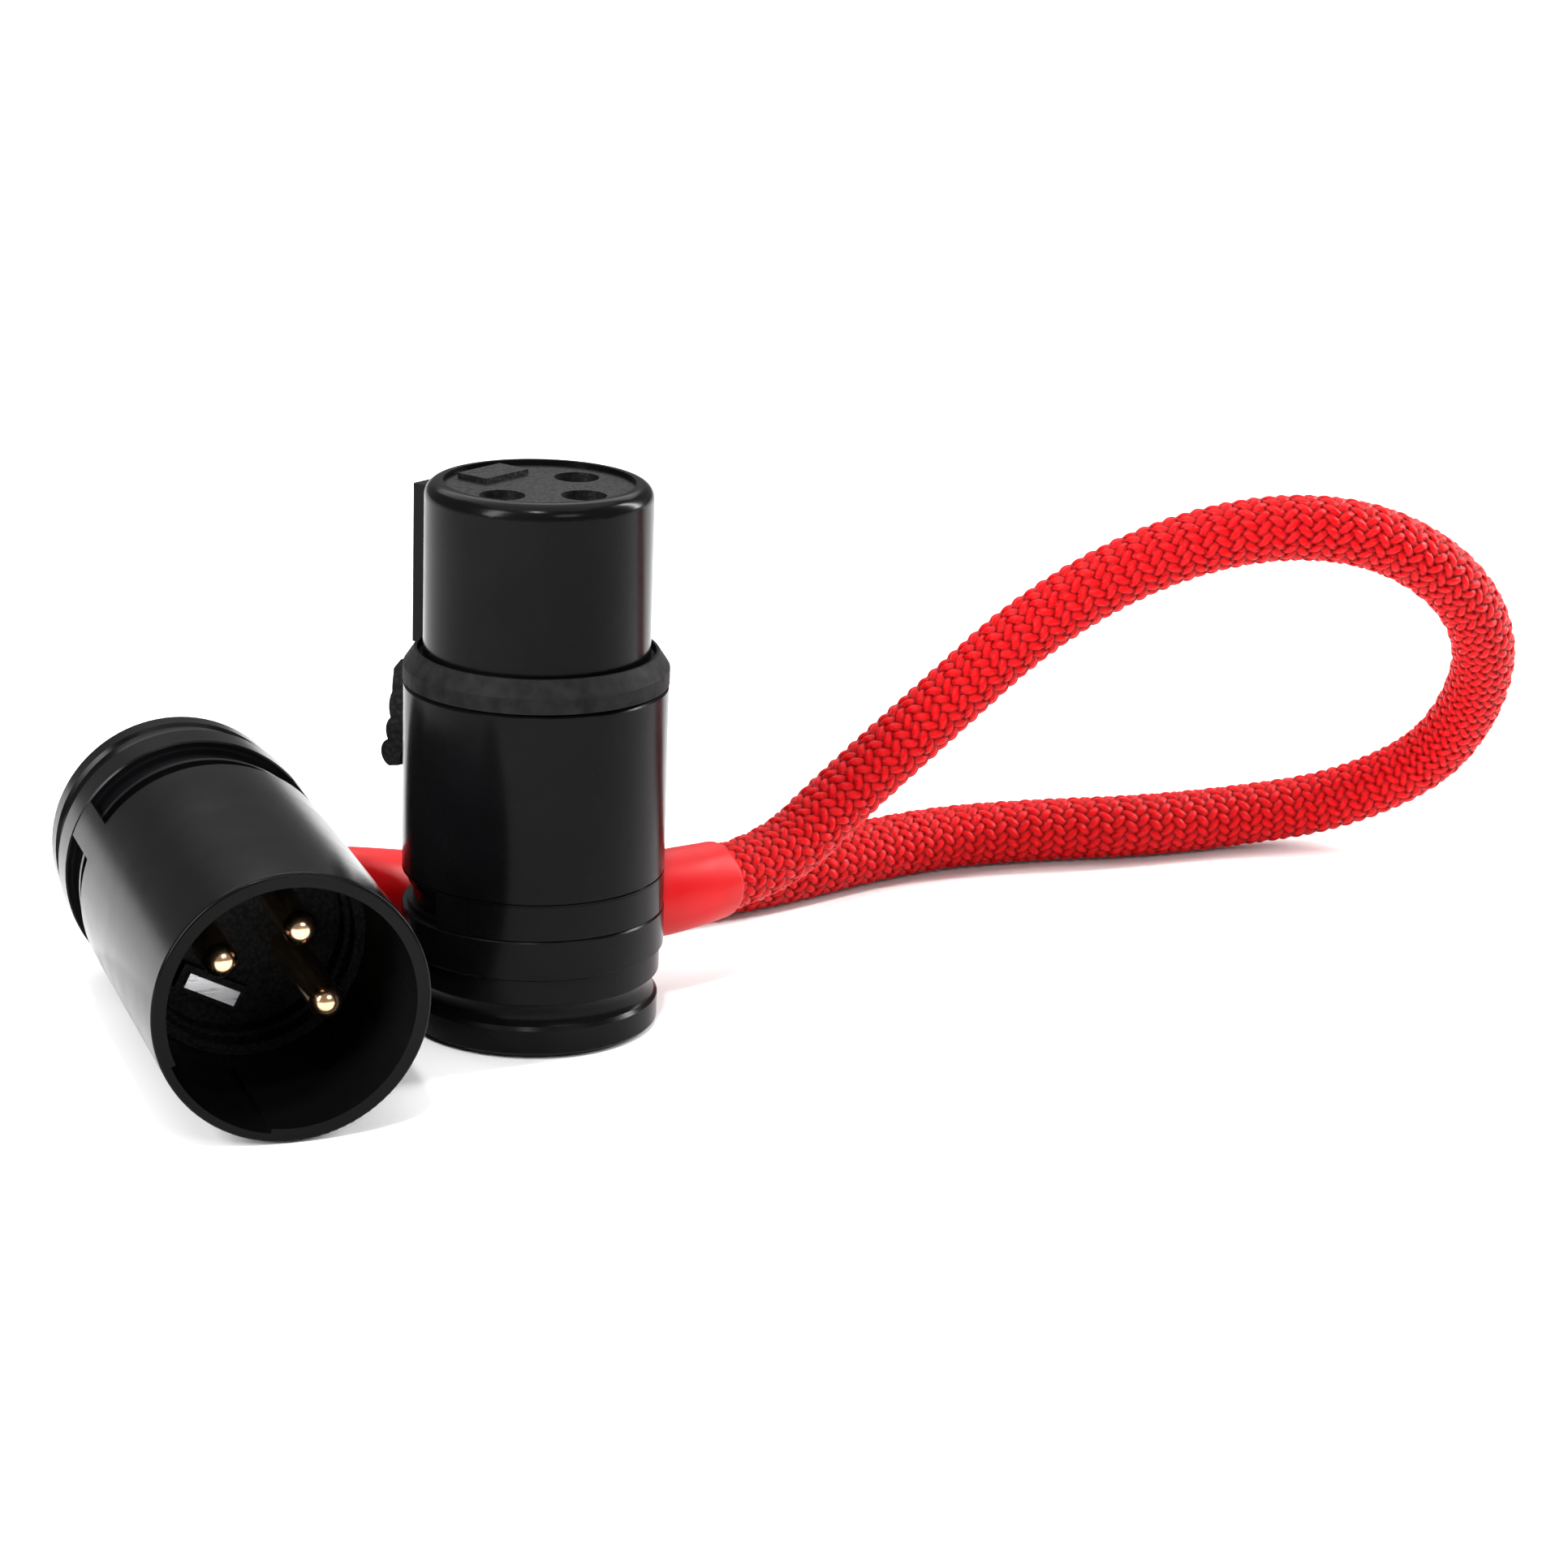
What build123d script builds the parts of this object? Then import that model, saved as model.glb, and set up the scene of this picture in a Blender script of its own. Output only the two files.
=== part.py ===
# A short right-angle XLR jumper lead: an upright female connector and a lying male connector,
# each on a swivelling side outlet, joined by one stiff braided cord.
# Millimetres. The origin is the centre of the female end cap's base, and +Z is up its axis.
import os
from math import cos, pi, radians, sin, tan
from build123d import *

os.makedirs("parts", exist_ok=True)

# Driving dimensions of both connectors. Heights are measured along a connector's axis from its base.
BARREL_R = 9.5            # outside of the barrels
SPIGOT_R = 9.1            # turning spigot of an outlet ring
WAIST_DEPTH = 0.4         # how far a spigot's waists are cut in
BORE_R = 9.15             # bore of the barrel that turns on the spigot
RING_BORE_R = 7.2         # chamber inside an outlet ring
BOOT_R = 3.2              # outside of a boot
CORD_R = 2.6              # outside of the braided cord
LEAD_R = 2.1              # rubber jacket inside the boot
FIT = 0.05                # clearance round a boot in its outlet
PIN_CIRCLE_R = 4.05       # circle of the three contacts
PIN_R = 1.2
SOCKET_BORE_R = 1.25
BRIDGE_HALF = 8.5         # half angle of the bridges between two notches of a barrel

# Female connector, standing on its base.
F_LENGTH = 40.0
F_CAP_TOP = 2.3
F_BAND_LOW = 4.07
F_BAND_STEP = 5.9
F_RING_TOP = 8.9
F_SPIGOT_TOP = 12.5
F_NOTCH_TOP = 11.45
F_BARREL_TOP = 25.4
F_COLLAR_TOP = 27.85
F_OUTLET_Z = 7.9
F_OUTLET_AZ = 8.0
F_BRIDGE_AZ = -144.5      # first of three bridges, 120 degrees apart
F_KEY_AZ = 123.0
F_SOCKETS_AZ = (33.0, 213.0, -57.0)
NOSE_R = 8.13
NOSE_BORE_R = 6.81
NOSE_FOOT = 13.0
FACE_Z = 39.6

# Male connector, lying with its mouth towards -Y.
M_LENGTH = 39.1
M_AXIS_X = -22.35
M_CAP_TOP = 2.2
M_BAND_LOW = 4.6
M_RING_TOP = 8.1
M_SPIGOT_TOP = 14.6
M_NOTCH_TOP = 13.9
M_OUTLET_Z = 10.4
M_OUTLET_AZ = -11.0
M_BRIDGE_AZ = 152.5
M_KEY_AZ = -116.5
M_PINS_AZ = (153.5, -26.5, 63.5)
CUP_R = 8.5
CUP_FLOOR = 21.8
CARRIER_BACK = 16.5
PIN_ROOT_R = 1.0
KEYWAY_AZ = (-158.0, -100.0)
PIN_TIP = 34.4
M_BASE_Y = 19.6

FEMALE = Plane.XY
MALE = Plane(origin=(M_AXIS_X, M_BASE_Y, BARREL_R), x_dir=(1, 0, 0), z_dir=(0, -1, 0))

# The cord's route, from the female boot's end, round the standing loop and back along the
# floor behind the female connector to the male boot's end.
CORD_ROUTE = [
    (15.6, 3.9, 7.85), (21.1, 6.6, 7.7), (27.6, 9.2, 12.0), (35.1, 9.5, 18.1),
    (42.9, 8.9, 25.1), (51.6, 6.9, 30.4), (60.6, 4.8, 32.8), (69.3, 3.8, 31.9),
    (77.1, 4.7, 27.7), (82.7, 8.1, 21.5), (85.2, 13.3, 14.7), (84.4, 18.4, 8.0),
    (78.0, 22.4, 3.7), (69.1, 23.6, 2.65), (60.0, 23.1, 2.65), (51.3, 24.2, 2.65),
    (42.8, 24.4, 2.65), (35.1, 22.4, 2.65), (28.1, 19.5, 2.65), (21.2, 17.4, 2.65),
    (14.3, 17.1, 2.65), (7.6, 17.5, 2.75), (0.9, 16.95, 4.15), (-5.0, 13.2, 5.7),
]


def place(plane, z):
    """The plane across a connector's axis, z above its base."""
    return plane.offset(z)


def outlet_plane(plane, azimuth, z, start):
    """The plane across an outlet's axis, start away from the connector's axis."""
    outwards = Vector(cos(radians(azimuth)), sin(radians(azimuth)), 0)
    origin = plane.from_local_coords(outwards * start + Vector(0, 0, z))
    return Plane(origin=origin, z_dir=plane.from_local_coords(outwards) - plane.origin)


def outlet_point(plane, azimuth, z, distance):
    """A point on an outlet's axis, as plain numbers."""
    return tuple(outlet_plane(plane, azimuth, z, distance).origin)


def polar(radius, azimuth):
    return (radius * cos(radians(azimuth)), radius * sin(radians(azimuth)))


def save(name, part):
    part.label = name
    export_step(part, f"parts/{name}.step")


def route_radii(points):
    """Largest arc that the two runs at each corner of a route allow."""
    radii = []
    for before, corner, after in zip(points, points[1:], points[2:]):
        run_in = Vector(*corner) - Vector(*before)
        run_out = Vector(*after) - Vector(*corner)
        half_turn = radians(run_in.get_angle(run_out)) / 2
        radii.append(0.45 * min(run_in.length, run_out.length) / tan(half_turn))
    return radii


def tube(name, points, radius, bore=0.0):
    """A round tube along straight runs joined by tangent arcs."""
    start = Vector(*points[0])
    with BuildPart() as swept:
        with BuildLine():
            path = FilletPolyline(*points, radius=route_radii(points))
        with BuildSketch(Plane(origin=start, z_dir=Vector(*points[1]) - start)):
            Circle(radius)
            if bore:
                Circle(bore, mode=Mode.SUBTRACT)
        sweep(path=path)
    section = pi * (radius ** 2 - bore ** 2)
    print(f"{name}: volume {swept.part.volume:.0f}, section times length {section * path.length:.0f}")
    save(name, swept.part)
    return path


def end_cap(name, plane, top, neck_top):
    """Screw-in base: a chamfered disc, a hollow neck and a threaded stub in the outlet ring."""
    rim_r, neck_r, stub_r, stub_top = 9.2, 8.8, RING_BORE_R - 0.05, neck_top + 0.6
    chamfer_w = 0.35
    with BuildPart() as cap:
        with BuildSketch(Plane.XZ):
            with BuildLine():
                Polyline((0, 0), (rim_r - chamfer_w, 0), (rim_r, chamfer_w), (rim_r, top - 0.25),
                         (rim_r - 0.25, top))
                ThreePointArc((rim_r - 0.25, top), (neck_r - 0.05, (top + neck_top) / 2),
                              (rim_r - 0.1, neck_top))
                Polyline((rim_r - 0.1, neck_top), (stub_r, neck_top), (stub_r, stub_top),
                         (5.6, stub_top), (5.6, 1.2), (0, 1.2), (0, 0))
            make_face()
        revolve(axis=Axis.Z)
        with BuildSketch(Plane.XY):
            with PolarLocations(5.0, 2):
                Circle(0.8)
        extrude(amount=0.6, mode=Mode.SUBTRACT)
    save(name, plane.location * cap.part)


def outlet_ring(name, plane, band_low, step, ring_top, spigot_top, outlet_z, outlet_az, waists):
    """Ring that the cord leaves through; the barrel turns on its spigot, which has slim waists."""
    low_r, high_r, groove_r, groove_w = 9.27, 9.55, 8.8, 0.5
    with BuildPart() as ring:
        with BuildSketch(place(plane, band_low)):
            Circle(low_r)
        extrude(amount=step - band_low)
        with BuildSketch(place(plane, step)):
            Circle(high_r)
        extrude(amount=ring_top - 0.05 - step)
        chamfer(ring.edges().filter_by(GeomType.CIRCLE).sort_by(lambda e: e.radius)[-2:], 0.12)
        with BuildSketch(place(plane, ring_top - 0.2)):
            Circle(SPIGOT_R)
        extrude(amount=spigot_top - ring_top + 0.2)
        for waist_low, waist_high in waists:
            with BuildSketch(place(plane, waist_low)):
                Circle(SPIGOT_R)
                Circle(SPIGOT_R - WAIST_DEPTH, mode=Mode.SUBTRACT)
            extrude(amount=waist_high - waist_low, mode=Mode.SUBTRACT)
        with BuildSketch(place(plane, spigot_top - 2 * groove_w)):
            Circle(SPIGOT_R)
            Circle(groove_r, mode=Mode.SUBTRACT)
        extrude(amount=groove_w, mode=Mode.SUBTRACT)
        with BuildSketch(place(plane, band_low)):
            Circle(RING_BORE_R)
        extrude(amount=spigot_top - band_low, mode=Mode.SUBTRACT)
        with BuildSketch(outlet_plane(plane, outlet_az, outlet_z, 3.0)):
            Circle(BOOT_R + FIT)
        extrude(amount=8.0, mode=Mode.SUBTRACT)
    save(name, ring.part)


def snap_ring(name, plane, spigot_top):
    """Open wire ring in the spigot's groove, which keeps the barrel on."""
    inner_r, outer_r, gap, height = 8.83, 9.08, 40, 0.4
    with BuildPart() as ring:
        with BuildSketch(place(plane, spigot_top - 0.95)):
            Circle(outer_r)
            Circle(inner_r, mode=Mode.SUBTRACT)
            with BuildLine():
                Line((0, 0), polar(12, -gap / 2))
                Line(polar(12, -gap / 2), polar(12, gap / 2))
                Line(polar(12, gap / 2), (0, 0))
            make_face(mode=Mode.SUBTRACT)
        extrude(amount=height)
    save(name, ring.part)


def notch(plane, low, high, from_az, to_az, outer=11.0, inner=8.9):
    """Cuts a stretch of the barrel's edge between two angles."""
    with BuildSketch(place(plane, low)) as section:
        with BuildLine():
            Polyline(polar(inner, from_az), polar(outer, from_az))
            RadiusArc(polar(outer, from_az), polar(outer, to_az), -outer)
            Polyline(polar(outer, to_az), polar(inner, to_az))
            RadiusArc(polar(inner, to_az), polar(inner, from_az), inner)
        make_face()
    extrude(section.sketch, amount=high - low, mode=Mode.SUBTRACT)


def cord_clamp(name, plane, outlet_z, outlet_az):
    """Two saddle halves that grip the cord's jacket inside the outlet ring."""
    across, tall, deep = 7.6, 3.0, 3.4
    base = outlet_plane(plane, outlet_az, outlet_z, 1.9)
    with BuildPart() as clamp:
        with BuildSketch(base):
            Rectangle(across, tall * 2)
            Circle(LEAD_R, mode=Mode.SUBTRACT)
            Rectangle(across, 0.3, mode=Mode.SUBTRACT)
        extrude(amount=deep)
    save(name, clamp.part)


def clamp_screws(name, plane, outlet_z, outlet_az):
    """Slotted heads of the two screws that pull the saddle halves together."""
    head_r, head_h, slot_w, slot_depth = 0.75, 0.6, 0.25, 0.35
    clamp_top, spacing = 3.0, 5.8
    outwards = polar(3.6, outlet_az)
    sideways = (-sin(radians(outlet_az)), cos(radians(outlet_az)))
    with BuildPart() as screws:
        for side in (-spacing / 2, spacing / 2):
            centre = (outwards[0] + side * sideways[0], outwards[1] + side * sideways[1])
            with BuildSketch(place(plane, outlet_z + clamp_top)):
                with Locations(centre):
                    Circle(head_r)
                    Rectangle(head_r * 1.6, slot_w, mode=Mode.SUBTRACT)
            extrude(amount=head_h)
            with BuildSketch(place(plane, outlet_z + clamp_top)):
                with Locations(centre):
                    Circle(head_r - 0.1)
            extrude(amount=head_h - slot_depth)
    save(name, screws.part)


def inner_leads(name, plane, outlet_z, boot_points, top):
    """Jacket inside the boot, and the three insulated wires that turn up to the contacts."""
    with BuildPart() as leads:
        with BuildLine():
            path = FilletPolyline(*boot_points, radius=route_radii(boot_points))
        start = Vector(*boot_points[0])
        with BuildSketch(Plane(origin=start, z_dir=Vector(*boot_points[1]) - start)):
            Circle(LEAD_R)
        sweep(path=path)
    with BuildPart() as wires:
        with BuildSketch(place(plane, outlet_z - 0.9)):
            with PolarLocations(1.1, 3):
                Circle(0.55)
        extrude(amount=top - outlet_z + 0.9)
    joined = Compound(children=[leads.part.solid(), *wires.part.solids()])
    save(name, joined)


def release_web(z_low, z_high, r_low, r_high, width):
    """A block on the key side of the female connector, between two radii."""
    middle = (r_low + r_high) / 2
    with BuildSketch(Plane.XY.offset(z_low)) as section:
        with Locations(Location(polar(middle, F_KEY_AZ), F_KEY_AZ)):
            Rectangle(r_high - r_low, width)
    extrude(section.sketch, amount=z_high - z_low)


# --- Boots and cord -------------------------------------------------------------------------
F_BOOT_PATH = [(*polar(7.3, F_OUTLET_AZ), F_OUTLET_Z), (*polar(11.4, F_OUTLET_AZ), F_OUTLET_Z),
               CORD_ROUTE[0]]
M_BOOT_PATH = [outlet_point(MALE, M_OUTLET_AZ, M_OUTLET_Z, 7.3),
               outlet_point(MALE, M_OUTLET_AZ, M_OUTLET_Z, 11.3), CORD_ROUTE[-1]]

cord_path = tube("cord", CORD_ROUTE, CORD_R)
print("cord radii", [round(r, 1) for r in route_radii(CORD_ROUTE)])
print(f"cord length {cord_path.length:.1f}")
for name, path in (("female_boot", F_BOOT_PATH), ("male_boot", M_BOOT_PATH)):
    tube(name, path, BOOT_R, LEAD_R)

# --- Swivelling outlets, one at each end -----------------------------------------------------
end_cap("female_end_cap", FEMALE, F_CAP_TOP, F_BAND_LOW)
end_cap("male_end_cap", MALE, M_CAP_TOP, M_BAND_LOW)
outlet_ring("female_outlet_ring", FEMALE, F_BAND_LOW, F_BAND_STEP, F_RING_TOP, F_SPIGOT_TOP,
            F_OUTLET_Z, F_OUTLET_AZ, [(9.25, 10.75)])
outlet_ring("male_outlet_ring", MALE, M_BAND_LOW, M_BAND_LOW + 0.4, M_RING_TOP, M_SPIGOT_TOP,
            M_OUTLET_Z, M_OUTLET_AZ, [(8.6, 10.95), (11.45, 13.3)])
snap_ring("female_snap_ring", FEMALE, F_SPIGOT_TOP)
snap_ring("male_snap_ring", MALE, M_SPIGOT_TOP)
cord_clamp("female_cord_clamp", FEMALE, F_OUTLET_Z, F_OUTLET_AZ)
cord_clamp("male_cord_clamp", MALE, M_OUTLET_Z, M_OUTLET_AZ)
clamp_screws("female_clamp_screws", FEMALE, F_OUTLET_Z, F_OUTLET_AZ)
clamp_screws("male_clamp_screws", MALE, M_OUTLET_Z, M_OUTLET_AZ)
F_LEAD_PATH = [(*polar(1.75, F_OUTLET_AZ), F_OUTLET_Z), *F_BOOT_PATH[1:]]
inner_leads("female_leads", FEMALE, F_OUTLET_Z, F_LEAD_PATH, 19.0)
inner_leads("male_leads", MALE, M_OUTLET_Z,
            [outlet_point(MALE, M_OUTLET_AZ, M_OUTLET_Z, 1.75), *M_BOOT_PATH[1:]], 16.0)

# --- Female connector ------------------------------------------------------------------------
SLOT_HALF = 1.75          # half width of the lever's slot in the barrel

with BuildPart() as female_shell:
    with BuildSketch(Plane.XY.offset(F_RING_TOP)):
        Circle(BARREL_R)
    extrude(amount=F_BARREL_TOP - F_RING_TOP)
    chamfer(female_shell.edges().group_by(Axis.Z)[-1], 0.2)
    with BuildSketch(Plane.XY.offset(F_RING_TOP)):
        Circle(BORE_R)
    extrude(amount=F_SPIGOT_TOP + 0.1 - F_RING_TOP, mode=Mode.SUBTRACT)
    with BuildSketch(Plane.XY.offset(F_RING_TOP)):
        Circle(NOSE_R + 0.02)
    extrude(amount=F_LENGTH, mode=Mode.SUBTRACT)
    # fine groove above the notched edge
    with BuildSketch(Plane.XY.offset(F_NOTCH_TOP + 0.1)):
        Circle(BARREL_R + 1)
        Circle(BARREL_R - 0.12, mode=Mode.SUBTRACT)
    extrude(amount=0.14, mode=Mode.SUBTRACT)
    for turn in range(3):
        middle = F_BRIDGE_AZ + 60 + 120 * turn
        notch(FEMALE, F_RING_TOP, F_NOTCH_TOP, middle - 60 + BRIDGE_HALF, middle + 60 - BRIDGE_HALF)
    with BuildSketch(Plane.XY.offset(15.0)):
        with Locations(Location(polar(9.0, F_KEY_AZ), F_KEY_AZ)):
            Rectangle(3.0, SLOT_HALF * 2)
    extrude(amount=F_BARREL_TOP, mode=Mode.SUBTRACT)
save("female_shell", female_shell.part)

with BuildPart() as female_blank:
    with BuildSketch(Plane.XY.offset(F_RING_TOP + 0.03)):
        blank_from = F_BRIDGE_AZ + BRIDGE_HALF + 0.4
        blank_to = F_BRIDGE_AZ + 120 - BRIDGE_HALF - 0.4
        with BuildLine():
            Polyline(polar(BORE_R, blank_from), polar(BARREL_R, blank_from))
            RadiusArc(polar(BARREL_R, blank_from), polar(BARREL_R, blank_to), -BARREL_R)
            Polyline(polar(BARREL_R, blank_to), polar(BORE_R, blank_to))
            RadiusArc(polar(BORE_R, blank_to), polar(BORE_R, blank_from), BORE_R)
        make_face()
    extrude(amount=F_NOTCH_TOP - F_RING_TOP - 0.06)
save("female_notch_cover", female_blank.part)

RIB_R, RIB_WIDTH, RIB_FOOT, RIB_TOP = 9.85, 4.6, 26.9, 38.6
with BuildPart() as female_collar:
    with BuildSketch(Plane.XZ):
        with BuildLine():
            Polyline((NOSE_R + 0.03, F_BARREL_TOP + 0.15), (9.54, F_BARREL_TOP + 0.15), (9.54, 26.66),
                     (9.46, 26.8), (8.75, F_COLLAR_TOP), (8.55, F_COLLAR_TOP), (8.5, 27.3),
                     (NOSE_R + 0.03, 27.2), (NOSE_R + 0.03, F_BARREL_TOP + 0.15))
        make_face()
    revolve(axis=Axis.Z)
    with BuildSketch(Plane.XY.offset(RIB_FOOT - 0.1)):
        with Locations(Location(polar(9.0, F_KEY_AZ), F_KEY_AZ)):
            Rectangle(3.0, RIB_WIDTH + 0.2)
    extrude(amount=2.0, mode=Mode.SUBTRACT)
save("female_collar", female_collar.part)

with BuildPart() as female_nose:
    with BuildSketch(Plane.XY.offset(NOSE_FOOT)):
        Circle(NOSE_R)
    extrude(amount=F_LENGTH - NOSE_FOOT)
    fillet(female_nose.edges().group_by(Axis.Z)[-1], 1.1)
    with BuildSketch(Plane.XY.offset(NOSE_FOOT)):
        Circle(NOSE_BORE_R)
    extrude(amount=F_LENGTH, mode=Mode.SUBTRACT)
    with BuildSketch(Plane.XY.offset(NOSE_FOOT)):
        with Locations(Location(polar(7.5, F_KEY_AZ), F_KEY_AZ)):
            Rectangle(3.0, 3.0)
    extrude(amount=F_BARREL_TOP - NOSE_FOOT, mode=Mode.SUBTRACT)
    release_web(RIB_FOOT, RIB_TOP, NOSE_R - 0.6, RIB_R, RIB_WIDTH)
save("female_nose", female_nose.part)

KEY_BLOCK = (2.7, 4.5)
CARRIER_FOOT = 26.0
with BuildPart() as female_carrier:
    with BuildSketch(Plane.XY.offset(CARRIER_FOOT)):
        Circle(NOSE_BORE_R - 0.01)
    extrude(amount=FACE_Z - CARRIER_FOOT)
    with BuildSketch(Plane.XY.offset(FACE_Z)):
        with Locations(Location(polar(4.35, F_KEY_AZ), F_KEY_AZ)):
            Rectangle(*KEY_BLOCK)
    extrude(amount=0.4)
    for azimuth in F_SOCKETS_AZ:
        with Locations(Location((*polar(PIN_CIRCLE_R, azimuth), FACE_Z))):
            CounterBoreHole(radius=1.5, counter_bore_radius=1.62, counter_bore_depth=0.5)
save("female_contact_carrier", female_carrier.part)

CONTACT_TOP = 38.6
CONTACT_FOOT = 20.0
for number, azimuth in enumerate(F_SOCKETS_AZ, start=1):
    spot = polar(PIN_CIRCLE_R, azimuth)
    with BuildPart() as contact:
        with BuildSketch(Plane.XY.offset(CONTACT_FOOT)):
            with Locations(spot):
                Circle(1.49)
        extrude(amount=CONTACT_TOP - CONTACT_FOOT)
        with BuildSketch(Plane.XY.offset(CONTACT_TOP - 11.5)):
            with Locations(spot):
                Circle(SOCKET_BORE_R)
        extrude(amount=12, mode=Mode.SUBTRACT)
        with BuildSketch(Plane.XY.offset(CONTACT_FOOT)):
            with Locations(spot):
                Circle(1.0)
        extrude(amount=4.0, mode=Mode.SUBTRACT)
    save(f"female_contact_{number}", contact.part)

PIVOT_R, PIVOT_Z = 7.45, 22.6
TAB_FOOT, TAB_TOP, TAB_WIDTH = 17.2, 25.5, 5.6
KEY_PLANE = Plane(origin=(0, 0, 0), x_dir=(*polar(1, F_KEY_AZ), 0),
                  z_dir=(*polar(1, F_KEY_AZ - 90), 0))
with BuildPart() as release_lever:
    with BuildSketch(KEY_PLANE.offset(-TAB_WIDTH / 2)):
        with BuildLine():
            Polyline((9.9, TAB_TOP - 0.2), (10.5, TAB_TOP), (11.2, 24.7), (11.35, 23.4), (11.35, 22.9))
            ThreePointArc((11.35, 22.9), (11.65, 21.9), (11.5, 20.9))
            ThreePointArc((11.5, 20.9), (11.95, 20.0), (11.75, 19.2))
            ThreePointArc((11.75, 19.2), (12.4, 18.1), (11.6, TAB_FOOT))
            Polyline((11.6, TAB_FOOT), (10.7, TAB_FOOT + 0.2), (9.9, 20.5), (9.9, TAB_TOP - 0.2))
        make_face()
    extrude(amount=TAB_WIDTH)
    with BuildSketch(KEY_PLANE.offset(-1.3)):
        with Locations((PIVOT_R, PIVOT_Z)):
            Circle(0.95)
        with Locations(((PIVOT_R + 10.1) / 2, PIVOT_Z)):
            Rectangle(10.1 - PIVOT_R, 1.5)
        with Locations((PIVOT_R, PIVOT_Z)):
            Circle(0.5, mode=Mode.SUBTRACT)
    extrude(amount=2.6)
save("release_lever", release_lever.part)

with BuildPart() as pivot_pin:
    with BuildSketch(KEY_PLANE.offset(-2.2)):
        with Locations((PIVOT_R, PIVOT_Z)):
            Circle(0.45)
    extrude(amount=4.4)
save("lever_pivot_pin", pivot_pin.part)

with BuildPart() as lever_spring:
    release_web(14.0, 20.5, 7.0, 7.25, 2.6)
    release_web(14.0, 14.5, 6.2, 7.25, 2.6)
save("lever_spring", lever_spring.part)

# --- Male connector --------------------------------------------------------------------------
with BuildPart() as male_shell:
    with BuildSketch(place(MALE, M_RING_TOP)):
        Circle(BARREL_R)
    extrude(amount=M_LENGTH - M_RING_TOP)
    fillet(male_shell.edges().group_by(Axis.Y)[0], 0.25)
    with BuildSketch(place(MALE, M_RING_TOP)):
        Circle(BORE_R)
    extrude(amount=M_SPIGOT_TOP + 0.1 - M_RING_TOP, mode=Mode.SUBTRACT)
    with BuildSketch(place(MALE, M_RING_TOP)):
        Circle(CUP_R)
    extrude(amount=M_LENGTH, mode=Mode.SUBTRACT)
    # keyway along the inner wall from the mouth
    with BuildSketch(place(MALE, M_LENGTH - 12)):
        with BuildLine():
            Polyline(polar(8.0, KEYWAY_AZ[0]), polar(8.85, KEYWAY_AZ[0]))
            RadiusArc(polar(8.85, KEYWAY_AZ[0]), polar(8.85, KEYWAY_AZ[1]), -8.85)
            Polyline(polar(8.85, KEYWAY_AZ[1]), polar(8.0, KEYWAY_AZ[1]))
            RadiusArc(polar(8.0, KEYWAY_AZ[1]), polar(8.0, KEYWAY_AZ[0]), 8.0)
        make_face()
    extrude(amount=12, mode=Mode.SUBTRACT)
    for turn in range(3):
        middle = M_BRIDGE_AZ + 60 + 120 * turn
        notch(MALE, M_RING_TOP, M_NOTCH_TOP, middle - 60 + BRIDGE_HALF, middle + 60 - BRIDGE_HALF)
save("male_shell", male_shell.part)

# Raised step on the carrier's face, which the ground tab lies on.
KEY_STEP_R = 4.6
KEY_STEP_DEEP, KEY_STEP_WIDE, KEY_STEP_HIGH = 1.9, 4.9, 0.9

with BuildPart() as male_carrier:
    with BuildSketch(place(MALE, CARRIER_BACK)):
        Circle(CUP_R - 0.02)
    extrude(amount=CUP_FLOOR - CARRIER_BACK)
    with BuildSketch(place(MALE, CUP_FLOOR)):
        with Locations(Location(polar(KEY_STEP_R, M_KEY_AZ), M_KEY_AZ)):
            Rectangle(KEY_STEP_DEEP, KEY_STEP_WIDE)
    extrude(amount=KEY_STEP_HIGH)
    for azimuth in M_PINS_AZ:
        with BuildSketch(place(MALE, CARRIER_BACK)):
            with Locations(polar(PIN_CIRCLE_R, azimuth)):
                Circle(PIN_ROOT_R)
        extrude(amount=CUP_FLOOR, mode=Mode.SUBTRACT)
save("male_contact_carrier", male_carrier.part)

for number, azimuth in enumerate(M_PINS_AZ, start=1):
    with BuildPart() as pin:
        with BuildSketch(place(MALE, CUP_FLOOR)):
            with Locations(polar(PIN_CIRCLE_R, azimuth)):
                Circle(PIN_R)
        extrude(amount=PIN_TIP - CUP_FLOOR)
        fillet(pin.edges().group_by(Axis.Y)[0], PIN_R - 0.05)
        with BuildSketch(place(MALE, CARRIER_BACK - 0.1)):
            with Locations(polar(PIN_CIRCLE_R, azimuth)):
                Circle(PIN_ROOT_R)
        extrude(amount=CUP_FLOOR - CARRIER_BACK + 0.1)
    save(f"male_pin_{number}", pin.part)

TAB_DEEP, TAB_WIDE, TAB_THICK = 1.1, 3.9, 0.5
with BuildPart() as ground_tab:
    with BuildSketch(place(MALE, CUP_FLOOR + KEY_STEP_HIGH)):
        with Locations(Location(polar(KEY_STEP_R, M_KEY_AZ), M_KEY_AZ)):
            Rectangle(TAB_DEEP, TAB_WIDE)
    extrude(amount=TAB_THICK)
save("male_ground_tab", ground_tab.part)

# Stepped ring pressed into the cup against the carrier: a low wide step and a tall thin one.
STEP_BORE_R, WALL_BORE_R = 7.4, 7.75
STEP_HEIGHT, WALL_HEIGHT = 1.6, 3.2
with BuildPart() as insert_ring:
    with BuildSketch(place(MALE, CUP_FLOOR)):
        Circle(CUP_R - 0.02)
        Circle(STEP_BORE_R, mode=Mode.SUBTRACT)
    extrude(amount=WALL_HEIGHT)
    with BuildSketch(place(MALE, CUP_FLOOR + STEP_HEIGHT)):
        Circle(WALL_BORE_R)
    extrude(amount=WALL_HEIGHT, mode=Mode.SUBTRACT)
save("male_insert_ring", insert_ring.part)
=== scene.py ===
from math import cos, pi, radians, sin

import bmesh
import bpy
import numpy as np
from mathutils import Matrix, Vector


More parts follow.
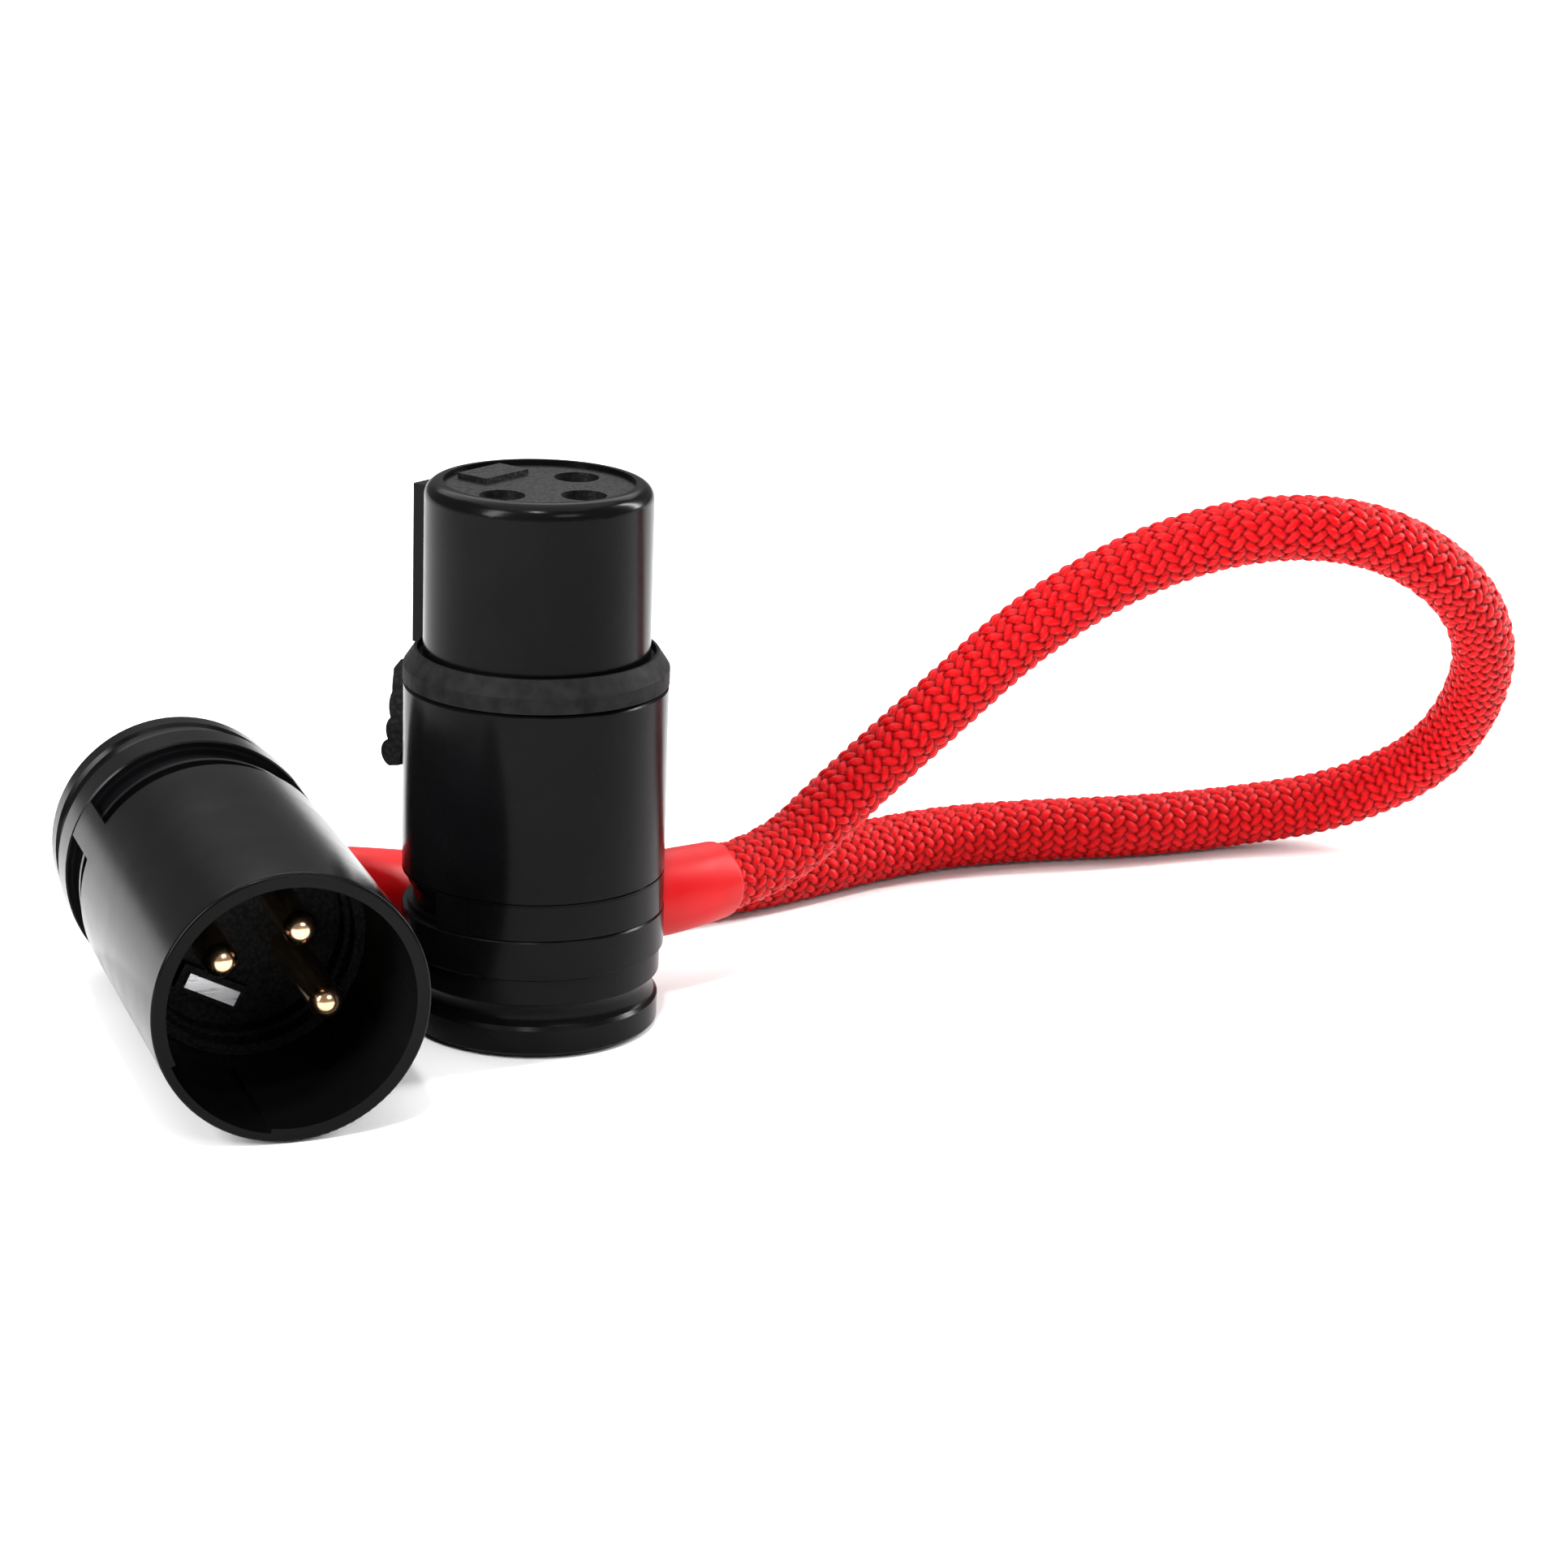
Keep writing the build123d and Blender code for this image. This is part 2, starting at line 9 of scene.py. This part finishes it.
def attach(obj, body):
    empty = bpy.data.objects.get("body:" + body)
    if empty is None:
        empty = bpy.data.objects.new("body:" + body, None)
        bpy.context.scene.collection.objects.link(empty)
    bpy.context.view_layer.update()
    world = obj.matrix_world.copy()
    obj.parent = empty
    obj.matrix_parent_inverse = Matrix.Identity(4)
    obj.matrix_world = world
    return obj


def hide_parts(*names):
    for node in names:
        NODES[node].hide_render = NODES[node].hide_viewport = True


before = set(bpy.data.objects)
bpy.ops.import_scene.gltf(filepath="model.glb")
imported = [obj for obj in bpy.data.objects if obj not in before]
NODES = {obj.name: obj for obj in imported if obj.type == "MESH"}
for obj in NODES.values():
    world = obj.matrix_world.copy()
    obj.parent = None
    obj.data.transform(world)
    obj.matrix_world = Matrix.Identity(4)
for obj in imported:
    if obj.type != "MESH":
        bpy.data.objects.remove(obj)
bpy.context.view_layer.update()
MM = 0.001

# The route of part.py's cord, in millimetres: from the female boot's end round to the male's.
CORD_ROUTE = [
    (15.6, 3.9, 7.85), (21.1, 6.6, 7.7), (27.6, 9.2, 12.0), (35.1, 9.5, 18.1),
    (42.9, 8.9, 25.1), (51.6, 6.9, 30.4), (60.6, 4.8, 32.8), (69.3, 3.8, 31.9),
    (77.1, 4.7, 27.7), (82.7, 8.1, 21.5), (85.2, 13.3, 14.7), (84.4, 18.4, 8.0),
    (78.0, 22.4, 3.7), (69.1, 23.6, 2.65), (60.0, 23.1, 2.65), (51.3, 24.2, 2.65),
    (42.8, 24.4, 2.65), (35.1, 22.4, 2.65), (28.1, 19.5, 2.65), (21.2, 17.4, 2.65),
    (14.3, 17.1, 2.65), (7.6, 17.5, 2.75), (0.9, 16.95, 4.15), (-5.0, 13.2, 5.7),
]
CORD_R = 2.6 * MM
FEMALE_BOOT = [(7.2, 1.0, 7.9), (11.3, 1.6, 7.9), CORD_ROUTE[0]]
MALE_BOOT = [(-15.2, 9.2, 8.1), (-11.26, 9.2, 7.34), CORD_ROUTE[-1]]


# --- Camera ------------------------------------------------------------------------------------
LENS, SENSOR = 88.67, 36.0                # millimetres
YAW, PITCH, ROLL = 20.76, 17.10, 2.113    # degrees: round from the front, down, and tilted
CAMERA_PLACE = (-77.49, -255.09, 100.15)  # millimetres


def add_camera():
    """The fitted view of the object from its front left, a little above it."""
    data = bpy.data.cameras.new("camera")
    data.lens = LENS
    data.sensor_width = SENSOR
    data.clip_start = 0.01
    camera = bpy.data.objects.new("camera", data)
    bpy.context.scene.collection.objects.link(camera)
    yaw, pitch, roll = radians(YAW), radians(PITCH), radians(ROLL)
    ahead = Vector((sin(yaw) * cos(pitch), cos(yaw) * cos(pitch), -sin(pitch)))
    right = ahead.cross(Vector((0, 0, 1))).normalized()
    up = right.cross(ahead)
    rolled_right = cos(roll) * right + sin(roll) * up
    rolled_up = cos(roll) * up - sin(roll) * right
    turn = Matrix((rolled_right, rolled_up, -ahead)).transposed().to_4x4()
    camera.matrix_world = Matrix.Translation(Vector(CAMERA_PLACE) * MM) @ turn
    bpy.context.scene.camera = camera


# --- Shader helpers ----------------------------------------------------------------------------
class Shader:
    """A node material with short calls for the few nodes that these finishes need."""

    def __init__(self, name, **sockets):
        self.material = bpy.data.materials.new(name)
        self.material.use_nodes = True
        self.tree = self.material.node_tree
        self.surface = self.tree.nodes["Principled BSDF"]
        for socket, value in sockets.items():
            self.surface.inputs[socket.replace("_", " ")].default_value = value

    def node(self, kind, **settings):
        made = self.tree.nodes.new(kind)
        for key, value in settings.items():
            if key in made.inputs:
                made.inputs[key].default_value = value
            else:
                setattr(made, key, value)
        return made

    def link(self, source, target):
        self.tree.links.new(source, target)

    def noise(self, scale, detail=4.0, vector=None):
        made = self.node("ShaderNodeTexNoise", Scale=scale, Detail=detail)
        if vector is None:
            vector = self.node("ShaderNodeTexCoord").outputs["Object"]
        self.link(vector, made.inputs["Vector"])
        return made.outputs["Fac"]

    def colour(self, value, low, high, start=0.3, end=0.7):
        made = self.node("ShaderNodeValToRGB")
        first, last = made.color_ramp.elements
        first.position, first.color = start, (*low, 1)
        last.position, last.color = end, (*high, 1)
        self.link(value, made.inputs["Fac"])
        self.link(made.outputs["Color"], self.surface.inputs["Base Color"])

    def roughness(self, value, low, high):
        made = self.node("ShaderNodeMapRange")
        made.inputs["To Min"].default_value = low
        made.inputs["To Max"].default_value = high
        self.link(value, made.inputs["Value"])
        self.link(made.outputs["Result"], self.surface.inputs["Roughness"])

    def bump(self, value, distance, strength=1.0):
        made = self.node("ShaderNodeBump", Strength=strength, Distance=distance)
        self.link(value, made.inputs["Height"])
        self.link(made.outputs["Normal"], self.surface.inputs["Normal"])


def gloss_black():
    """Glossy black anodising with faint handling haze and a machined waviness."""
    made = Shader("gloss_black", Specular_IOR_Level=0.06)
    made.colour(made.noise(90, 3), (0.0012, 0.0012, 0.0014), (0.0032, 0.0032, 0.0036))
    made.roughness(made.noise(260, 6), 0.13, 0.27)
    made.bump(made.noise(700, 3), 0.000004)
    return made.material


def rubber_black():
    """Matte collar: fine pores and a dusty grey cast."""
    made = Shader("rubber_black", Specular_IOR_Level=0.08)
    made.colour(made.noise(900, 6), (0.003, 0.003, 0.0033), (0.009, 0.009, 0.0095))
    made.roughness(made.noise(1500, 4), 0.5, 0.75)
    made.bump(made.noise(2600, 5), 0.00002)
    return made.material


def grained_black(name, grain=3200.0, depth=0.00005):
    """Spark-eroded moulding: pebbled grain with worn, slightly shinier tops."""
    made = Shader(name, Specular_IOR_Level=0.12)
    cells = made.node("ShaderNodeTexVoronoi", Scale=grain)
    made.link(made.node("ShaderNodeTexCoord").outputs["Object"], cells.inputs["Vector"])
    made.colour(cells.outputs["Distance"], (0.009, 0.009, 0.0095), (0.002, 0.002, 0.0022), 0.1, 0.8)
    made.roughness(cells.outputs["Distance"], 0.38, 0.62)
    made.bump(cells.outputs["Distance"], depth, 0.7)
    return made.material


def gold():
    """Gold plate with fine turning marks."""
    made = Shader("gold", Metallic=1.0)
    made.colour(made.noise(500, 3), (0.82, 0.50, 0.28), (0.95, 0.66, 0.42))
    made.roughness(made.noise(1800, 4), 0.12, 0.26)
    made.bump(made.noise(3000, 2), 0.000003)
    return made.material


def bright_metal():
    """Nickel-plated sheet with brushed streaks."""
    made = Shader("bright_metal", Metallic=1.0)
    mapping = made.node("ShaderNodeMapping", Scale=(200, 3500, 3500))
    made.link(made.node("ShaderNodeTexCoord").outputs["Object"], mapping.inputs["Vector"])
    streak = made.noise(1.0, 5, mapping.outputs["Vector"])
    made.colour(streak, (0.80, 0.80, 0.81), (0.92, 0.92, 0.93))
    made.roughness(streak, 0.2, 0.38)
    made.bump(streak, 0.000004)
    return made.material


def heat_shrink():
    """Satin red heat-shrink sleeve with a soft orange-peel surface."""
    made = Shader("heat_shrink", Specular_IOR_Level=0.2)
    made.colour(made.noise(240, 5), (0.42, 0.0, 0.001), (0.50, 0.0, 0.002))
    made.roughness(made.noise(600, 4), 0.36, 0.52)
    made.bump(made.noise(900, 4), 0.00003, 0.6)
    return made.material


def jacket():
    """Dull rubber of the wires inside the outlets."""
    made = Shader("lead_jacket", Roughness=0.6)
    made.colour(made.noise(400, 4), (0.03, 0.03, 0.03), (0.06, 0.06, 0.06))
    made.bump(made.noise(1200, 4), 0.00001)
    return made.material


def braid_nylon():
    """Lustrous red yarn: filaments run along each carrier, and the gaps between carriers are
    painted darker as painted shade.
    """
    made = Shader("braid_nylon", Specular_IOR_Level=0.11)
    height = made.node("ShaderNodeAttribute", attribute_name="braid_height")
    # Painted shade: the colour follows the braid_height attribute, so the low gaps between carriers
    # are painted dark where shade falls.
    made.colour(height.outputs["Fac"], (0.07, 0.0, 0.0004), (0.50, 0.0, 0.0018), 0.25, 0.85)
    coordinates = made.node("ShaderNodeUVMap", uv_map="yarn")
    mapping = made.node("ShaderNodeMapping", Scale=(2.6, 0.7, 1.0))
    made.link(coordinates.outputs["UV"], mapping.inputs["Vector"])
    filaments = made.noise(2.2, 5, mapping.outputs["Vector"])
    made.roughness(filaments, 0.2, 0.46)
    made.bump(filaments, 0.00012, 0.9)
    return made.material


# --- Cord --------------------------------------------------------------------------------------
def route_points(points):
    """Points along the smooth NURBS line that has the given points as its control points."""
    curve = bpy.data.curves.new("route", "CURVE")
    curve.dimensions = "3D"
    spline = curve.splines.new("NURBS")
    spline.points.add(len(points) - 1)
    for target, point in zip(spline.points, points):
        target.co = (*(Vector(point) * MM), 1.0)
    spline.order_u = 3
    spline.use_endpoint_u = True
    curve.resolution_u = 32
    holder = bpy.data.objects.new("route", curve)
    bpy.context.scene.collection.objects.link(holder)
    line = bpy.data.meshes.new_from_object(holder)
    found = np.array([vertex.co for vertex in line.vertices])
    bpy.data.objects.remove(holder)
    bpy.data.meshes.remove(line)
    return found


def even_points(line, count):
    """The same line, with count points evenly spaced along it."""
    travelled = np.concatenate([[0], np.cumsum(np.linalg.norm(np.diff(line, axis=0), axis=1))])
    where = np.linspace(0, travelled[-1], count)
    return np.stack([np.interp(where, travelled, line[:, i]) for i in range(3)], 1), where


def rings_along(line):
    """Two unit vectors across the line at each point, carried along it without twist."""
    tangents = np.gradient(line, axis=0)
    tangents /= np.linalg.norm(tangents, axis=1)[:, None]
    across = np.empty_like(line)
    side = np.cross(tangents[0], (0.0, 0.0, 1.0))
    for i, tangent in enumerate(tangents):
        side = side - tangent * side.dot(tangent)
        side /= np.linalg.norm(side)
        across[i] = side
    return across, np.cross(tangents, across)


def swept_mesh(name, line, radii, around):
    """A closed tube whose radius is given for every ring and every step around it."""
    across, other = rings_along(line)
    angles = np.arange(around) * 2 * pi / around
    outwards = (np.cos(angles)[None, :, None] * across[:, None]
                + np.sin(angles)[None, :, None] * other[:, None])
    grid = line[:, None] + outwards * radii[:, :, None]
    rings = len(line)
    vertices = np.concatenate([grid.reshape(-1, 3), line[:1], line[-1:]])
    ring, step = np.meshgrid(np.arange(rings - 1), np.arange(around), indexing="ij")
    after = (step + 1) % around
    quads = np.stack([ring * around + step, ring * around + after,
                      (ring + 1) * around + after, (ring + 1) * around + step], -1).reshape(-1, 4)
    first, last = rings * around, rings * around + 1
    faces = quads.tolist()
    top = (rings - 1) * around
    for i in range(around):
        j = (i + 1) % around
        faces.append((first, j, i))
        faces.append((last, top + i, top + j))
    mesh = bpy.data.meshes.new(name)
    mesh.from_pydata(vertices.tolist(), [], faces)
    mesh.polygons.foreach_set("use_smooth", [True] * len(mesh.polygons))
    piece = bpy.data.objects.new(name, mesh)
    bpy.context.scene.collection.objects.link(piece)
    return piece


CARRIERS = 16             # yarn bundles in each direction
PLAIT_PITCH = 1.05 * MM   # length of cord per crossing
YARN_ROUND = 0.30 * MM    # how far a yarn stands up between its edges
YARN_WEAVE = 0.22 * MM    # how far it dips below the yarns that cross it
YARN_FULLNESS = 0.96      # under 1, so that a yarn's edges end in a step
YARN_SHIFT = 0.37         # sets the two directions apart in the filament pattern


def plait(angle, along):
    """Height, on-top direction and yarn coordinates of a two-over-two tubular braid."""
    turns = CARRIERS * angle / (2 * pi)
    a, b = turns + along / PLAIT_PITCH, turns - along / PLAIT_PITCH
    i, j = np.floor(a), np.floor(b)

    def rounded(part):
        return np.sqrt(np.clip(1 - (2 * part - 1) ** 2 * YARN_FULLNESS, 0, 1))

    high_a = YARN_ROUND * rounded(a - i) + YARN_WEAVE * np.cos(pi / 2 * (b - i))
    high_b = YARN_ROUND * rounded(b - j) + YARN_WEAVE * np.cos(pi / 2 * (a - j - 3))
    on_top = high_a >= high_b
    cross = np.where(on_top, a, b)
    run = np.where(on_top, b, a + YARN_SHIFT)
    return np.maximum(high_a, high_b), cross, run


def add_cord():
    """The braided cord, as one tube whose surface is plaited along the route."""
    around, per_pitch = 144, 8
    rough = route_points(CORD_ROUTE)
    length = np.linalg.norm(np.diff(rough, axis=0), axis=1).sum()
    line, along = even_points(rough, int(length / PLAIT_PITCH * per_pitch))
    angles = np.arange(around) * 2 * pi / around
    height, cross, run = plait(angles[None, :], along[:, None])
    top = YARN_ROUND + YARN_WEAVE
    radii = CORD_R - top + height
    cord = swept_mesh("braided_cord", line, radii, around)
    mesh = cord.data
    # The braid's height, stored for the yarn colour, which uses it to paint shade into the gaps
    # between carriers.
    level = np.clip(height / top, 0, 1).reshape(-1)
    attribute = mesh.attributes.new("braid_height", "FLOAT", "POINT")
    attribute.data.foreach_set("value", np.concatenate([level, [0, 0]]).astype(np.float32))
    yarn = np.stack([cross.reshape(-1), run.reshape(-1)], 1)
    yarn = np.concatenate([yarn, [[0, 0], [0, 0]]])
    corners = np.empty(len(mesh.loops), np.int32)
    mesh.loops.foreach_get("vertex_index", corners)
    layer = mesh.uv_layers.new(name="yarn")
    layer.data.foreach_set("uv", yarn[corners].astype(np.float32).reshape(-1))
    mesh.materials.append(braid_nylon())
    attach(cord, "lead")
    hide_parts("cord")


BOOT_R = 3.2          # millimetres, at the outlet
BOOT_TAPER = 0.26     # millimetres that the sleeve draws in by
TAPER_FROM = 0.35     # share of the length where it starts to draw in
LIP_FROM = 0.955      # share of the length where the rolled end starts
LIP_DEPTH = 0.32      # millimetres
RIPPLE = 0.035        # millimetres
BOOT_INSET = 0.02     # millimetres that the sleeve keeps inside the CAD boot


def add_boot(name, node, points, material):
    """A shrunk sleeve: full at the outlet, drawn in over the cord, with a rolled, uneven end."""
    around, rings = 72, 60
    line, along = even_points(route_points(points), rings)
    share = along / along[-1]
    angles = np.arange(around) * 2 * pi / around
    profile = (BOOT_R - BOOT_TAPER * np.clip((share - TAPER_FROM) / 0.65, 0, 1) ** 1.5) * MM
    lip = np.clip((share - LIP_FROM) / 0.045, 0, 1)
    profile = profile - LIP_DEPTH * MM * (1 - np.sqrt(np.clip(1 - lip ** 2, 0, 1)))
    lobes = np.sin(3 * angles + 0.7)[None, :] * share[:, None]
    twist = np.sin(5 * angles[None, :] + 9 * share[:, None])
    ripple = RIPPLE * MM * (lobes + 0.6 * twist * share[:, None])
    boot = swept_mesh(name, line, profile[:, None] + ripple - BOOT_INSET * MM, around)
    boot.data.materials.append(material)
    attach(boot, "lead")
    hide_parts(node)


# --- CAD nodes ---------------------------------------------------------------------------------
def paint(material, *names):
    """Gives CAD nodes one finish, in place of the plain one they come with."""
    for name in names:
        slots = NODES[name].data.materials
        slots.clear()
        slots.append(material)


def paint_cad():
    """Every CAD node that no visual piece stands for."""
    black = gloss_black()
    moulding = grained_black("grained_moulding")
    paint(black, "female_shell", "female_notch_cover", "female_nose", "female_end_cap",
          "female_outlet_ring", "female_snap_ring", "male_snap_ring", "male_shell",
          "male_end_cap", "male_outlet_ring")
    paint(rubber_black(), "female_collar")
    paint(moulding, "female_contact_carrier", "male_contact_carrier", "male_insert_ring")
    paint(grained_black("grained_grip", 2200.0, 0.0001), "release_lever")
    contacts = [f"{kind}_{i}" for kind in ("female_contact", "male_pin") for i in (1, 2, 3)]
    paint(gold(), *contacts)
    paint(bright_metal(), "male_ground_tab", "lever_pivot_pin", "lever_spring",
          "female_clamp_screws", "male_clamp_screws", "female_cord_clamp", "male_cord_clamp")
    paint(jacket(), "female_leads", "male_leads")


# --- Floor and light ---------------------------------------------------------------------------
FLOOR_SIZE = 6.0      # metres from its middle to an edge
FLOOR_DROP = 0.0001   # metres under the object, so that no faces coincide


def add_floor():
    """White paper that the object stands on."""
    mesh = bpy.data.meshes.new("floor")
    form = bmesh.new()
    bmesh.ops.create_grid(form, x_segments=1, y_segments=1, size=FLOOR_SIZE)
    form.to_mesh(mesh)
    form.free()
    floor = bpy.data.objects.new("floor", mesh)
    floor.location.z = -FLOOR_DROP
    bpy.context.scene.collection.objects.link(floor)
    paper = Shader("floor_paper", Roughness=0.9, Specular_IOR_Level=0.1)
    paper.colour(paper.noise(6, 3), (0.86, 0.86, 0.86), (0.88, 0.88, 0.88))
    mesh.materials.append(paper.material)


def add_light(name, place, size, power, aim=(0.02, 0.0, 0.02)):
    """A rectangular lamp, in metres and watts, that points at the object or at the given aim."""
    data = bpy.data.lights.new(name, "AREA")
    data.shape = "RECTANGLE"
    data.size, data.size_y = size
    data.energy = power
    light = bpy.data.objects.new(name, data)
    bpy.context.scene.collection.objects.link(light)
    light.location = place
    light.rotation_euler = (Vector(aim) - Vector(place)).to_track_quat("-Z", "Y").to_euler()


def add_lights():
    """A bright, even studio: soft light from above, and boxes that streak the barrels."""
    world = bpy.data.worlds.new("studio")
    world.use_nodes = True
    world.node_tree.nodes["Background"].inputs["Color"].default_value = (1, 1, 1, 1)
    world.node_tree.nodes["Background"].inputs["Strength"].default_value = 0.26
    bpy.context.scene.world = world
    # This view keeps the red saturated and the blacks deep; the default one washes both out.
    bpy.context.scene.view_settings.view_transform = "Standard"
    add_light("overhead", (0.05, 0.1, 0.9), (1.1, 0.9), 7.0)
    add_light("far_overhead", (0.3, 1.5, 1.1), (2.0, 1.4), 24, (0.3, 1.5, 0.0))
    add_light("left_box", (-0.42, -0.2, 0.28), (0.1, 0.35), 4.2)
    add_light("front_box", (0.12, -0.5, 0.35), (0.22, 0.16), 1.0)
    add_light("right_strip", (0.4, 0.05, 0.2), (0.05, 0.3), 2.6)
    add_light("sparkle", (-0.1, -0.25, 0.5), (0.035, 0.035), 1.5)


add_camera()
add_cord()
sleeve = heat_shrink()
add_boot("female_boot_sleeve", "female_boot", FEMALE_BOOT, sleeve)
add_boot("male_boot_sleeve", "male_boot", MALE_BOOT, sleeve)
paint_cad()
add_floor()
add_lights()
